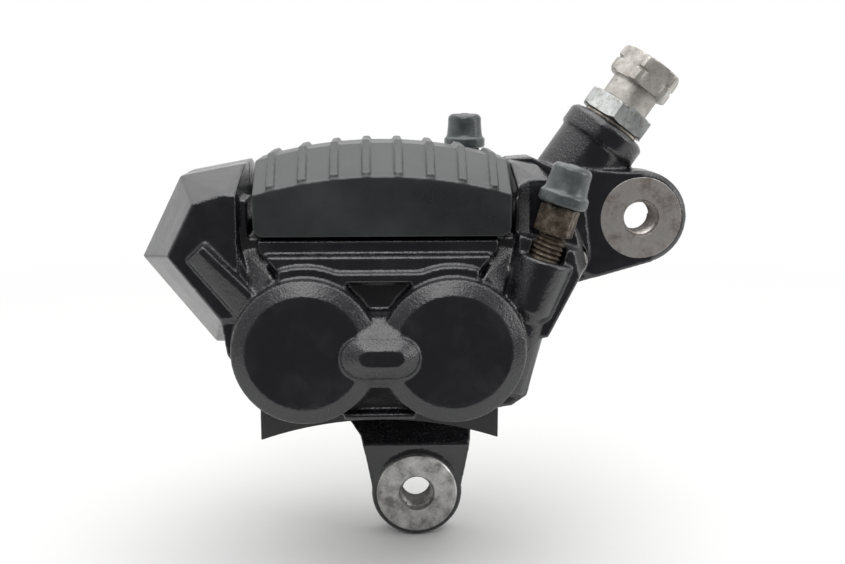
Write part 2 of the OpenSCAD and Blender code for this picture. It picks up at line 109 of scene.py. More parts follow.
def cast_skin(piece, voxel, rounds, keep):
    """Closes a solid into one even skin, rounds its edges and fillets, and thins its flat stretches."""
    skin = piece.modifiers.new("skin", "REMESH")
    skin.mode = "VOXEL"
    skin.voxel_size = voxel
    soft = piece.modifiers.new("soft", "SMOOTH")
    soft.factor = 0.5
    soft.iterations = rounds
    thin = piece.modifiers.new("thin", "DECIMATE")
    thin.ratio = keep
    return settled(piece)


def ream(piece, point, axis, radius, reach):
    """Moves what a cast hole's wall has lost to the smoothing back out to its true radius."""
    axis = Vector(axis).normalized()
    point = Vector(point)
    for v in piece.data.vertices:
        along = (v.co - point).dot(axis)
        out = v.co - point - axis * along
        if reach[0] < along < reach[1] and 1e-6 < out.length < radius:
            v.co += out.normalized() * (radius - out.length)


def finish_of(name, colour, roughness, metallic=0.0):
    """A material with its shader's colour, roughness and metal set."""
    material = bpy.data.materials.new(name)
    material.use_nodes = True
    shader = material.node_tree.nodes["Principled BSDF"]
    shader.inputs["Base Color"].default_value = (*colour, 1)
    shader.inputs["Roughness"].default_value = roughness
    shader.inputs["Metallic"].default_value = metallic
    return material


def add(material, kind, **values):
    """A node in a material; values go to its inputs by name, or to its own settings."""
    node = material.node_tree.nodes.new(kind)
    for key, value in values.items():
        if key in node.inputs:
            node.inputs[key].default_value = value
        else:
            setattr(node, key, value)
    return node


def join(material, source, target):
    material.node_tree.links.new(source, target)


def grain(material, scale, detail=3.0, roughness=0.55):
    """Noise on the piece's own coordinates, in features per metre."""
    place = add(material, "ShaderNodeTexCoord")
    node = add(material, "ShaderNodeTexNoise", Scale=scale, Detail=detail, Roughness=roughness)
    join(material, place.outputs["Object"], node.inputs["Vector"])
    return node.outputs["Fac"]


def stepped(material, factor, *stops):
    """A colour ramp; each stop is (position, colour)."""
    node = add(material, "ShaderNodeValToRGB")
    while len(node.color_ramp.elements) < len(stops):
        node.color_ramp.elements.new(0.5)
    for element, (position, colour) in zip(node.color_ramp.elements, stops):
        element.position = position
        element.color = (*colour, 1) if len(colour) == 3 else (*colour * 3, 1)
    join(material, factor, node.inputs["Fac"])
    return node.outputs["Color"]


def blended(material, factor, first, second):
    """Mixes two colours by a factor; either may be a plain colour."""
    node = material.node_tree.nodes.new("ShaderNodeMix")
    node.data_type = "RGBA"
    for slot, value in ((6, first), (7, second)):
        if isinstance(value, tuple):
            node.inputs[slot].default_value = (*value, 1)
        else:
            join(material, value, node.inputs[slot])
    join(material, factor, node.inputs[0])
    return node.outputs[2]


def relief(material, height, depth, strength=1.0, under=None):
    """A bump of a depth in metres, over another one."""
    node = add(material, "ShaderNodeBump", Strength=strength, Distance=depth)
    join(material, height, node.inputs["Height"])
    if under is not None:
        join(material, under, node.inputs["Normal"])
    return node.outputs["Normal"]


def feed(material, **sockets):
    """Links outputs to the shader's inputs by name."""
    shader = material.node_tree.nodes["Principled BSDF"]
    for key, output in sockets.items():
        join(material, output, shader.inputs[key.replace("_", " ")])


def black_paint(name):
    """Gloss black over cast skin: smooth on the flat faces, speckled on the slopes with painted light grey glints,
    thin on the edges, where a lighter grey is partly worn paint and partly a painted edge highlight.
    """
    paint = finish_of(name, (0.008, 0.008, 0.01), 0.25)
    paint.node_tree.nodes["Principled BSDF"].inputs["IOR"].default_value = 1.62
    normal = add(paint, "ShaderNodeNewGeometry")
    axes = add(paint, "ShaderNodeSeparateXYZ")
    join(paint, normal.outputs["Normal"], axes.inputs["Vector"])
    across = add(paint, "ShaderNodeMath", operation="ABSOLUTE")
    join(paint, axes.outputs["Y"], across.inputs[0])
    slopes = add(paint, "ShaderNodeMapRange")
    for key, value in (("From Min", 0.80), ("From Max", 0.985), ("To Min", 0.9), ("To Max", 0.12)):
        slopes.inputs[key].default_value = value
    join(paint, across.outputs[0], slopes.inputs["Value"])
    coarse = grain(paint, 520, 3.0)
    speckle = grain(paint, 1900, 2.0, 0.6)
    base = relief(paint, coarse, 0.00022, 0.35)
    sand = add(paint, "ShaderNodeBump", Distance=0.00022)
    join(paint, speckle, sand.inputs["Height"])
    join(paint, slopes.outputs["Result"], sand.inputs["Strength"])
    join(paint, base, sand.inputs["Normal"])
    # Sharp edges are lightened to grey: partly paint worn through, partly a painted highlight along the edges.
    sharp_edges = stepped(paint, normal.outputs["Pointiness"], (0.53, (0,)), (0.6, (1,)))
    dust = stepped(paint, grain(paint, 140, 5.0), (0.5, (0.008, 0.008, 0.0105)), (0.8, (0.02, 0.02, 0.022)))
    edge_wear_and_highlight = add(paint, "ShaderNodeMath", operation="MULTIPLY")
    join(paint, sharp_edges, edge_wear_and_highlight.inputs[0])
    join(paint, stepped(paint, grain(paint, 260, 4.0), (0.42, (0,)), (0.62, (0.7,))), edge_wear_and_highlight.inputs[1])
    # Painted highlight: light grey speckle glints on faces turned away from front and back (the slopes); the
    # speckle pattern itself is the cast skin.
    slope_glints = add(paint, "ShaderNodeMath", operation="MULTIPLY")
    join(paint, slopes.outputs["Result"], slope_glints.inputs[0])
    join(paint, stepped(paint, speckle, (0.56, (0,)), (0.7, (0.5,))), slope_glints.inputs[1])
    dust_and_glints = blended(paint, slope_glints.outputs[0], dust, (0.11, 0.11, 0.108))
    colour = blended(paint, edge_wear_and_highlight.outputs[0], dust_and_glints, (0.2, 0.195, 0.19))
    gloss = stepped(paint, grain(paint, 90, 4.0), (0.3, (0.1,)), (0.75, (0.26,)))
    feed(paint, Base_Color=colour, Roughness=gloss, Normal=sand.outputs["Normal"])
    return paint


casting_paint = black_paint("casting_paint")
bore_radius = 0.0152
bore_reach = (-0.0345, -0.010)
piston_places = {n: (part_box(n)[0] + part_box(n)[1]) / 2 for n in frame["nodes"] if n.endswith("_piston")}
disc_plane = (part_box("outer_friction")[1].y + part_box("inner_friction")[0].y) / 2
outer_half = cast_skin(copy_of("outer_body", "outer_half"), voxel=0.00048, rounds=5, keep=0.42)
for side in ("outer_left_piston", "outer_right_piston"):
    centre = piston_places[side]
    ream(outer_half, (centre.x, disc_plane, centre.z), (0, 1, 0), bore_radius, bore_reach)
shade(outer_half, casting_paint)
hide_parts("outer_body")
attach(outer_half, "caliper")

# ---- Inner half ----
# The half on the fork's side: the same cast and painted aluminium, with the two mounting lugs, the inlet
# boss and the inner bleed boss. It carries the screws that clamp the outer half to it.
inner_half = cast_skin(copy_of("inner_body", "inner_half"), voxel=0.00052, rounds=5, keep=0.42)
for side in ("inner_left_piston", "inner_right_piston"):
    centre = piston_places[side]
    ream(inner_half, (centre.x, disc_plane, centre.z), (0, -1, 0), bore_radius, bore_reach)
mounts = {m["name"]: m for m in frame["record"]["mounts"]}
thread_valley = 0.0051
lug_reach = (-0.008, 0.008)
for lug in ("lower_mount", "upper_mount"):
    ream(inner_half, mounts[lug]["pos_m"], (0, 1, 0), thread_valley, lug_reach)
shade(inner_half, casting_paint)
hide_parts("inner_body")
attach(inner_half, "caliper")

# ---- Machined lug faces ----
# Each lug is spot-faced after painting, which leaves a bare aluminium ring with turning marks round an
# M10 hole. The face, its chamfers and the tapped wall are one turned skin set into the casting.


def turned(profile, sides=96, section=None, closed=False):
    """A mesh turned about +Z from (radius, height) pairs; section(angle, radius) shapes the round."""
    build = bmesh.new()
    rings = []
    for radius, height in profile:
        if radius < 1e-7:
            rings.append([build.verts.new((0, 0, height))])
            continue
        ring = []
        for i in range(sides):
            a = 2 * math.pi * i / sides
            r = section(a, radius) if section else radius
            ring.append(build.verts.new((r * math.cos(a), r * math.sin(a), height)))
        rings.append(ring)
    pairs = list(zip(rings, rings[1:])) + ([(rings[-1], rings[0])] if closed else [])
    for low, high in pairs:
        for i in range(sides):
            j = (i + 1) % sides
            corners = [low[i % len(low)], low[j % len(low)], high[j % len(high)], high[i % len(high)]]
            corners = list(dict.fromkeys(corners))
            if len(corners) > 2:
                build.faces.new(corners)
    bmesh.ops.recalc_face_normals(build, faces=build.faces)
    mesh = bpy.data.meshes.new("turned")
    build.to_mesh(mesh)
    build.free()
    return mesh


def seat(point, axis, spin=0.0):
    """The move that stands a turned shape at a point with its +Z along an axis."""
    turn = Vector(axis).normalized().to_track_quat("Z", "Y").to_matrix().to_4x4()
    return Matrix.Translation(Vector(point)) @ turn @ Matrix.Rotation(spin, 4, "Z")


def thread_tree():
    """Geometry Nodes: a ridge of four-sided section along a helix, for a cut thread."""
    tree = bpy.data.node_groups.new("thread_ridge", "GeometryNodeTree")
    tree.is_modifier = True
    for name in ("Radius", "Pitch", "Turns", "Ridge"):
        tree.interface.new_socket(name, in_out="INPUT", socket_type="NodeSocketFloat")
    tree.interface.new_socket("Metal", in_out="INPUT", socket_type="NodeSocketMaterial")
    tree.interface.new_socket("Thread", in_out="OUTPUT", socket_type="NodeSocketGeometry")
    nodes, links = tree.nodes, tree.links
    inputs = nodes.new("NodeGroupInput")
    length = nodes.new("ShaderNodeMath")
    length.operation = "MULTIPLY"
    links.new(inputs.outputs["Pitch"], length.inputs[0])
    links.new(inputs.outputs["Turns"], length.inputs[1])
    helix = nodes.new("GeometryNodeCurveSpiral")
    helix.inputs["Resolution"].default_value = 48
    links.new(inputs.outputs["Turns"], helix.inputs["Rotations"])
    links.new(inputs.outputs["Radius"], helix.inputs["Start Radius"])
    links.new(inputs.outputs["Radius"], helix.inputs["End Radius"])
    links.new(length.outputs[0], helix.inputs["Height"])
    upright = nodes.new("GeometryNodeSetCurveNormal")
    upright.mode = "Z_UP"
    links.new(helix.outputs["Curve"], upright.inputs["Curve"])
    ridge = nodes.new("GeometryNodeCurvePrimitiveCircle")
    ridge.inputs["Resolution"].default_value = 4
    links.new(inputs.outputs["Ridge"], ridge.inputs["Radius"])
    sweep = nodes.new("GeometryNodeCurveToMesh")
    sweep.inputs["Fill Caps"].default_value = True
    links.new(upright.outputs["Curve"], sweep.inputs["Curve"])
    links.new(ridge.outputs["Curve"], sweep.inputs["Profile Curve"])
    real = nodes.new("GeometryNodeRealizeInstances")
    links.new(sweep.outputs["Mesh"], real.inputs["Geometry"])
    paint = nodes.new("GeometryNodeSetMaterial")
    links.new(real.outputs["Geometry"], paint.inputs["Geometry"])
    links.new(inputs.outputs["Metal"], paint.inputs["Material"])
    out = nodes.new("NodeGroupOutput")
    links.new(paint.outputs["Geometry"], out.inputs["Thread"])
    return tree


helix_tree = thread_tree()


def thread(radius, pitch, turns, ridge, metal):
    """A helical ridge that starts at height zero, as plain mesh."""
    piece = linked("thread", bpy.data.meshes.new("thread"))
    run = piece.modifiers.new("thread", "NODES")
    run.node_group = helix_tree
    wanted = {"Radius": radius, "Pitch": pitch, "Turns": turns, "Ridge": ridge, "Metal": metal}
    for item in helix_tree.interface.items_tree:
        if item.in_out == "INPUT":
            run[item.identifier] = wanted[item.name]
    settled(piece)
    mesh = piece.data
    bpy.data.objects.remove(piece)
    return mesh


def assembled(name, *parts):
    """One mesh object out of (mesh, place) pairs, with the places baked in."""
    build = bmesh.new()
    for mesh, place in parts:
        mesh.transform(place)
        build.from_mesh(mesh)
    whole = bpy.data.meshes.new(name)
    build.to_mesh(whole)
    build.free()
    return linked(name, whole)


def turning_marks(metal, centre, spacing):
    """Rings round a lug's axis, as a facing tool leaves them."""
    place = add(metal, "ShaderNodeTexCoord")
    from_axis = add(metal, "ShaderNodeVectorMath", operation="SUBTRACT")
    from_axis.inputs[1].default_value = centre
    flat = add(metal, "ShaderNodeVectorMath", operation="MULTIPLY")
    flat.inputs[1].default_value = (1, 0, 1)
    reach = add(metal, "ShaderNodeVectorMath", operation="LENGTH")
    join(metal, place.outputs["Object"], from_axis.inputs[0])
    join(metal, from_axis.outputs[0], flat.inputs[0])
    join(metal, flat.outputs[0], reach.inputs[0])
    marks = add(metal, "ShaderNodeTexNoise", noise_dimensions="1D", Scale=1 / spacing, Detail=2.0)
    join(metal, reach.outputs["Value"], marks.inputs["W"])
    return marks.outputs["Fac"]


face_radius, hole_radius, lug_length = 0.0121, 0.00435, 0.012
face_edge, hole_edge = 0.0004, 0.0011
face_proud, face_depth = 0.00006, 0.0011
tapped_wall = thread_valley - 0.0001
tapped_pitch, tapped_ridge = 0.00125, 0.00062
tapped_turns = (lug_length - 0.0028) / tapped_pitch
thread_foot = -lug_length + 0.0012
for lug, body_colour, stain in (("lower_mount", (0.42, 0.415, 0.41), (0.2, 0.195, 0.19)),
                                ("upper_mount", (0.47, 0.44, 0.42), (0.24, 0.21, 0.19))):
    spot = Vector(mounts[lug]["pos_m"])
    facing = finish_of(lug + "_aluminium", body_colour, 0.4, 1.0)
    marks = turning_marks(facing, (spot.x, 0, spot.z), 0.0004)
    blotch = grain(facing, 210, 6.0, 0.65)
    tone = stepped(facing, blotch, (0.36, stain), (0.52, body_colour), (0.72, (0.6, 0.59, 0.57)))
    scuffs = stepped(facing, grain(facing, 1600, 3.0, 0.7), (0.55, (0,)), (0.72, (0.5,)))
    feed(facing, Base_Color=blended(facing, scuffs, tone, (0.7, 0.69, 0.67)),
         Roughness=stepped(facing, blotch, (0.3, (0.55,)), (0.7, (0.36,))),
         Normal=relief(facing, grain(facing, 2400, 2.0), 0.00006, 0.4, relief(facing, marks, 0.00008, 0.5)))
    skin = turned([
        (hole_radius + hole_edge, face_proud), (face_radius - face_edge, face_proud),
        (face_radius, face_proud - face_edge), (face_radius, -face_depth),
        (tapped_wall, -face_depth), (tapped_wall, -lug_length + 0.001),
        (hole_radius + hole_edge, -lug_length + 0.0004), (tapped_wall - 0.0001, thread_foot),
        (tapped_wall - 0.0001, -0.0008)], 128, closed=True)
    ridge = thread(tapped_wall, tapped_pitch, tapped_turns, tapped_ridge, facing)
    stand = seat((spot.x, spot.y - lug_length / 2, spot.z), (0, -1, 0))
    piece = assembled(lug.replace("mount", "lug_face"), (skin, stand),
                      (ridge, stand @ Matrix.Translation((0, 0, thread_foot))))
    shade(piece, facing, 35)
    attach(piece, "caliper")

# ---- Pad cover ----
# A cover moulded in black plastic that snaps over the pads, with ribs across its crown and a plain face.
# Its skin is satin, a little grey where it has been handled, and its edges are softly rounded.
cover_plastic = finish_of("cover_plastic", (0.02, 0.021, 0.022), 0.38)
smear = grain(cover_plastic, 55, 5.0, 0.6)
feed(cover_plastic,
     Base_Color=stepped(cover_plastic, smear, (0.35, (0.017, 0.018, 0.019)), (0.7, (0.036, 0.038, 0.039))),
     Roughness=stepped(cover_plastic, smear, (0.3, (0.26,)), (0.75, (0.42,))),
     Normal=relief(cover_plastic, grain(cover_plastic, 3200, 2.0), 0.00004, 0.5))
cover = cast_skin(copy_of("pad_cover", "ribbed_cover"), voxel=0.00036, rounds=3, keep=0.45)
shade(cover, cover_plastic)
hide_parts("pad_cover")
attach(cover, "pad_cover")

# ---- Bleed screws ----
# Plated steel screws gone brown with rust: an M8 thread with a sealing cone, a hexagon and a hose nipple.
# Each stands in its boss by its thread, with part of the thread showing.
rusty = finish_of("rusty_steel", (0.12, 0.09, 0.065), 0.55, 0.8)
rust = grain(rusty, 420, 6.0, 0.7)
feed(rusty,
     Base_Color=stepped(rusty, rust, (0.34, (0.025, 0.018, 0.013)), (0.52, (0.1, 0.078, 0.058)),
                        (0.72, (0.3, 0.26, 0.22))),
     Roughness=stepped(rusty, rust, (0.35, (0.8,)), (0.7, (0.42,))),
     Normal=relief(rusty, grain(rusty, 1800, 4.0, 0.7), 0.00014, 0.6))
joints = {j["name"]: j for j in frame["joints"]}


def hexagon(across_flats):
    """A section for turned(): six flats, cut down to the turned radius, which makes the chamfers."""
    def section(angle, radius):
        off = (angle + math.pi / 6) % (math.pi / 3) - math.pi / 6
        return min(radius, across_flats / 2 / math.cos(off))
    return section


def chamfered_hex(across_flats, low, high, bevel, steps=5):
    """A closed hexagon from one height to another with its corners turned off at both ends."""
    corner = across_flats / math.sqrt(3)
    slant = bevel * 1.9
    inner = corner - slant
    profile = [(0, low), (inner, low)]
    profile += [(inner + slant * i / steps, low + bevel * i / steps) for i in range(1, steps + 1)]
    profile += [(corner - slant * i / steps, high - bevel + bevel * i / steps) for i in range(steps + 1)]
    profile += [(0, high)]
    return turned(profile, 144, hexagon(across_flats))


bleed_pitch, bleed_crest, bleed_ridge = 0.00125, 0.00398, 0.00068
bleed_core, bleed_shoulder = 0.0031, 0.0036
cone_tip, cone_foot = -0.0152, -0.0138
hex_flats, hex_height = 0.0091, 0.0073
nipple_radius, nipple_length, nipple_bore = 0.003, 0.0171, 0.0011
bleed_proud = {"outer": 0.0068, "inner": 0.005}
for side, proud in bleed_proud.items():
    joint = joints[side + "_bleed_turn"]
    stand = seat(joint["pos_m"], joint["axis"])
    core = turned([(0, cone_tip), (0.0016, cone_tip), (bleed_core, cone_foot), (bleed_core, proud - 0.0009),
                   (bleed_shoulder, proud - 0.0004), (bleed_shoulder, proud), (0, proud)], 64)
    flats = chamfered_hex(hex_flats, proud, proud + hex_height, 0.0003)
    nipple_foot = proud + hex_height - 0.0001
    nipple = turned([(0, nipple_foot), (nipple_radius, nipple_foot), (nipple_radius, proud + 0.0144),
                     (0.00355, proud + 0.0156), (0.0026, proud + nipple_length),
                     (nipple_bore, proud + nipple_length), (nipple_bore, proud + 0.004),
                     (0, proud + 0.004)], 64)
    turns = (proud + 0.0128) / bleed_pitch
    ridge = thread(bleed_crest - bleed_ridge, bleed_pitch, turns, bleed_ridge, rusty)
    screw = assembled(side + "_bleeder", (core, stand), (flats, stand), (nipple, stand),
                      (ridge, stand @ Matrix.Translation((0, 0, -0.0134))))
    shade(screw, rusty, 30)
    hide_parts(side + "_bleed_screw")
    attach(screw, side + "_bleed_screw")

# ---- Bleed caps ----
# Moulded rubber caps that keep dirt out of the nipples: a flange to pull on and a tapered round top.
# They are only pushed on. The rubber is dark grey and slightly shiny from age.
cap_rubber = finish_of("cap_rubber", (0.055, 0.062, 0.064), 0.38)
bloom = grain(cap_rubber, 300, 5.0)
feed(cap_rubber,
     Base_Color=stepped(cap_rubber, bloom, (0.35, (0.04, 0.047, 0.049)), (0.7, (0.08, 0.089, 0.091))),
     Roughness=stepped(cap_rubber, bloom, (0.3, (0.16,)), (0.75, (0.34,))),
     Normal=relief(cap_rubber, grain(cap_rubber, 2600, 3.0), 0.00006, 0.5))


def arc(radius, height, size, start, end, steps=6):
    """(radius, height) pairs round a quarter or less, for a moulded edge."""
    points = []
    for i in range(steps + 1):
        a = math.radians(start + (end - start) * i / steps)
        points.append((radius + size * math.cos(a), height + size * math.sin(a)))
    return points


cap_bore, cap_depth, cap_height = 0.00375, 0.0098, 0.0109
flange_radius, flange_round = 0.0056, 0.0009
for side, proud in bleed_proud.items():
    joint = joints[side + "_bleed_turn"]
    foot = proud + 0.0076
    profile = [(cap_bore, foot + 0.0002), *arc(flange_radius, foot + flange_round, flange_round, -90, 0),
               *arc(flange_radius, foot + 0.0025, flange_round, 0, 60), (0.00585, foot + 0.0035),
               (0.0056, foot + 0.0042), (0.0053, foot + 0.0072),
               *arc(0.0034, foot + 0.0088, 0.0019, 12, 75, 8),
               *arc(0.0008, foot + 0.0097, 0.00118, 60, 90, 3),
               (0, foot + cap_height), (0, foot + cap_depth), (cap_bore, foot + cap_depth)]
    moulding = turned(profile, 96, closed=True)
    cap = assembled(side + "_dust_cap", (moulding, seat(joint["pos_m"], joint["axis"])))
    shade(cap, cap_rubber, 50)
    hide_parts(side + "_bleed_cap")
    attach(cap, side + "_bleed_cap")

# ---- Inlet adapter and washer ----
# A turned steel adapter with a big hexagon, zinc-plated and still bright on its flats, with patches of brake
# dust. It pulls a soft metal washer down on the inlet boss.
inlet = joints["union_nut_turn"]
zinc = finish_of("zinc_plate", (0.5, 0.52, 0.52), 0.34, 1.0)
film = grain(zinc, 160, 5.0, 0.6)
grime = stepped(zinc, grain(zinc, 620, 6.0, 0.75), (0.5, (0,)), (0.66, (1,)))
plating = stepped(zinc, film, (0.3, (0.42, 0.44, 0.44)), (0.7, (0.62, 0.63, 0.62)))
feed(zinc,
     Base_Color=blended(zinc, grime, plating, (0.3, 0.28, 0.25)),
     Roughness=stepped(zinc, film, (0.3, (0.28,)), (0.7, (0.46,))),
     Normal=relief(zinc, grain(zinc, 1500, 4.0, 0.7), 0.00008, 0.45))
boss_top, washer_height = 0.0034, 0.0012
adapter_foot = boss_top + washer_height + 0.00005
adapter_height, adapter_flats, adapter_spin = 0.0056, 0.0199, math.radians(17)
adapter_top = adapter_foot + adapter_height
stem_radius, stem_end = 0.0059, -0.011
spigot_radius, spigot_length = 0.0047, 0.006
stand = seat(inlet["pos_m"], inlet["axis"], adapter_spin)
stem = turned([(0, stem_end), (0.0052, stem_end), (stem_radius, -0.0102), (stem_radius, adapter_foot),
               (0, adapter_foot)], 64)
flats = chamfered_hex(adapter_flats, adapter_foot, adapter_top, 0.0005)
spigot = turned([(0, adapter_top - 0.0001), (spigot_radius, adapter_top - 0.0001),
                 (spigot_radius, adapter_top + 0.0055), (0.0042, adapter_top + spigot_length),
                 (0, adapter_top + spigot_length)], 64)
adapter = assembled("inlet_adapter_hex", (stem, stand), (flats, stand), (spigot, stand))
shade(adapter, zinc, 30)
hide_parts("inlet_adapter")
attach(adapter, "caliper")

washer_metal = finish_of("washer_metal", (0.5, 0.46, 0.4), 0.5, 1.0)
dull = grain(washer_metal, 900, 5.0)
feed(washer_metal,
     Base_Color=stepped(washer_metal, dull, (0.35, (0.25, 0.22, 0.19)), (0.65, (0.62, 0.58, 0.52))),
     Normal=relief(washer_metal, dull, 0.0001, 0.5))
washer_bore, washer_rim, washer_round = 0.0061, 0.0084, 0.00038
ring = turned([(washer_bore, boss_top + 0.00002),
               *arc(washer_rim, boss_top + 0.0004, washer_round, -90, 0, 3),
               *arc(washer_rim, boss_top + 0.0008, washer_round, 0, 90, 3),
               (washer_bore, boss_top + washer_height)], 96, closed=True)
washer = assembled("copper_washer", (ring, stand))
shade(washer, washer_metal, 40)
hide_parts("inlet_washer")
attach(washer, "caliper")

# ---- Union nut ----
# The brake line's nut, forged steel with a round collar below and a hexagon with a shallow waist above.
# Its plating has gone dull and blotched, and the forging is rough with pits.
union_metal = finish_of("dull_steel", (0.4, 0.38, 0.35), 0.5, 0.85)
patch = grain(union_metal, 190, 6.0, 0.65)
pits = grain(union_metal, 900, 5.0, 0.7)
pitted = stepped(union_metal, pits, (0.6, (0,)), (0.72, (1,)))
forged = stepped(union_metal, patch, (0.35, (0.3, 0.28, 0.26)), (0.55, (0.45, 0.43, 0.4)),
                 (0.75, (0.62, 0.6, 0.57)))
feed(union_metal,
     Base_Color=blended(union_metal, pitted, forged, (0.12, 0.1, 0.085)),
     Roughness=stepped(union_metal, patch, (0.3, (0.6,)), (0.75, (0.4,))),
     Normal=relief(union_metal, pits, 0.0002, 0.6))
union_foot = adapter_top + 0.0001
collar_height, union_height, union_flats = 0.0066, 0.0084, 0.0178
union_corner = union_flats / math.sqrt(3)
hex_low = union_foot + collar_height
top = hex_low + union_height
waist = hex_low + union_height * 0.5
collar_radius, foot_bore = 0.0074, 0.00485
line_bore, line_depth, fluid_bore = 0.0045, 0.008, 0.0018
union_spin = math.radians(-8)
profile = [(foot_bore, union_foot), (0.0071, union_foot), (collar_radius, union_foot + 0.0004),
           (collar_radius, hex_low), (union_corner - 0.0012, hex_low),
           (union_corner - 0.0004, hex_low + 0.0004), (union_corner, hex_low + 0.001),
           (union_corner, waist - 0.0006), (union_corner - 0.001, waist - 0.0001),
           (union_corner - 0.001, waist + 0.0001), (union_corner, waist + 0.0006),
           (union_corner, top - 0.001), (union_corner - 0.0004, top - 0.0004), (union_corner - 0.0012, top),
           (0.0052, top), (line_bore, top - 0.0007), (line_bore, top - line_depth),
           (fluid_bore, top - line_depth), (fluid_bore, union_foot + 0.007), (foot_bore, union_foot + 0.007)]
nut = turned(profile, 180, hexagon(union_flats), closed=True)
line_thread = thread(radius=0.0046, pitch=0.001, turns=6.5, ridge=0.0004, metal=union_metal)
union = assembled("line_union", (nut, stand @ Matrix.Rotation(union_spin, 4, "Z")),
                  (line_thread, stand @ Matrix.Translation((0, 0, top - 0.0074))))
lump_scale, lump_depth = 700, 0.00007
lump_shifts = (Vector((0, 0, 0)), Vector((31, 7, 0)), Vector((0, 17, 53)))
for v in union.data.vertices:
    place = v.co * lump_scale
    v.co += Vector([noise.noise(place + shift) for shift in lump_shifts]) * lump_depth
shade(union, union_metal, 30)
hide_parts("union_nut")
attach(union, "union_nut")

# ---- Body screws ----
# Four socket-head steel screws, put in from the inner side, that clamp the halves. The heads are knurled
# and sit in spot faces, and the plating has turned dull.
bolt_steel = finish_of("bolt_steel", (0.25, 0.25, 0.26), 0.42, 1.0)
tarnish = grain(bolt_steel, 500, 5.0, 0.65)
feed(bolt_steel,
     Base_Color=stepped(bolt_steel, tarnish, (0.35, (0.12, 0.11, 0.1)), (0.65, (0.34, 0.34, 0.35))),
     Roughness=stepped(bolt_steel, tarnish, (0.3, (0.6,)), (0.7, (0.34,))),
     Normal=relief(bolt_steel, tarnish, 0.00008, 0.4))
bolt_low, bolt_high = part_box("body_bolts")
build = bmesh.new()
build.from_mesh(frame["nodes"]["body_bolts"].data)
bmesh.ops.remove_doubles(build, verts=build.verts, dist=2e-6)
centres = []
head_width = 0.0135
heads = [v for v in build.verts if v.co.y > bolt_high.y - 0.0002]
while heads:
    near = [v for v in heads if (v.co.xz - heads[0].co.xz).length < head_width]
    low = Vector((min(v.co.x for v in near), min(v.co.z for v in near)))
    high = Vector((max(v.co.x for v in near), max(v.co.z for v in near)))
    centres.append((low + high) / 2)
    heads = [v for v in heads if v not in near]
build.free()


ridge_count, ridge_depth = 40, 0.00016
shank_radius, head_radius, head_height = 0.004, 0.0065, 0.008
socket_corner, socket_depth = 0.00346, 0.004
socket = hexagon(0.006)


def socket_head(angle, radius):
    """A socket screw's section: six flats inside, and fine ridges where the head is at its full radius."""
    if radius <= socket_corner:
        return socket(angle, radius)
    if radius < head_radius - 0.0001:
        return radius
    return radius - ridge_depth * (0.5 + 0.5 * math.cos(ridge_count * angle))


screws = []
length = bolt_high.y - bolt_low.y
head_foot = length - head_height
for centre in centres:
    bar = turned([(0, 0), (0.0034, 0), (shank_radius, 0.0006), (shank_radius, head_foot),
                  (0.0063, head_foot), (head_radius, head_foot + 0.0002), (head_radius, length - 0.001),
                  (0.0061, length - 0.0003), (0.0057, length), (0.0036, length),
                  (socket_corner, length - 0.0002),
                  (socket_corner, length - socket_depth), (0, length - socket_depth - 0.0008)],
                 240, socket_head)
    screws.append((bar, seat((centre.x, bolt_low.y, centre.y), (0, 1, 0))))
body_screws = assembled("body_screws", *screws)
shade(body_screws, bolt_steel, 30)
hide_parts("body_bolts")
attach(body_screws, "caliper")

# ---- Pads ----
# Two pads, each a stamped steel plate with hanging ears, painted black, and a pressed friction block
# bonded to it. The plates' edges are rolled by the stamping, and the block is granular.


def rounded(piece, width, segments=2, angle=35):
    """Bevels a piece's hard edges."""
    edge = piece.modifiers.new("edge", "BEVEL")
    edge.width = width
    edge.segments = segments
    edge.limit_method = "ANGLE"
    edge.angle_limit = math.radians(angle)
    return settled(piece)


plate_paint = finish_of("plate_paint", (0.012, 0.012, 0.012), 0.5)
chips = stepped(plate_paint, grain(plate_paint, 500, 6.0, 0.7), (0.66, (0,)), (0.74, (1,)))
feed(plate_paint, Base_Color=blended(plate_paint, chips, (0.012, 0.012, 0.012), (0.1, 0.07, 0.05)),
     Normal=relief(plate_paint, grain(plate_paint, 1300, 4.0), 0.0001, 0.5))
friction_mix = finish_of("friction_mix", (0.05, 0.047, 0.045), 0.9)
cells = add(friction_mix, "ShaderNodeTexVoronoi", Scale=1500.0)
join(friction_mix, add(friction_mix, "ShaderNodeTexCoord").outputs["Object"], cells.inputs["Vector"])
filings = stepped(friction_mix, grain(friction_mix, 2600, 3.0), (0.6, (0,)), (0.68, (1,)))
resin = stepped(friction_mix, cells.outputs["Distance"], (0.0, (0.035, 0.033, 0.032)),
                (0.8, (0.075, 0.07, 0.065)))
feed(friction_mix,
     Base_Color=blended(friction_mix, filings, resin, (0.3, 0.2, 0.12)),
     Normal=relief(friction_mix, cells.outputs["Distance"], 0.0002, 0.6))
for side in ("outer", "inner"):
    plate = rounded(copy_of(side + "_backing_plate", side + "_pad_plate"), 0.0005, 3)
    shade(plate, plate_paint, 40)
    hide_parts(side + "_backing_plate")
    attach(plate, side + "_pad")
    block = rounded(copy_of(side + "_friction", side + "_pad_block"), 0.0004, 2)
    shade(block, friction_mix, 40)
    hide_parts(side + "_friction")
    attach(block, side + "_pad")

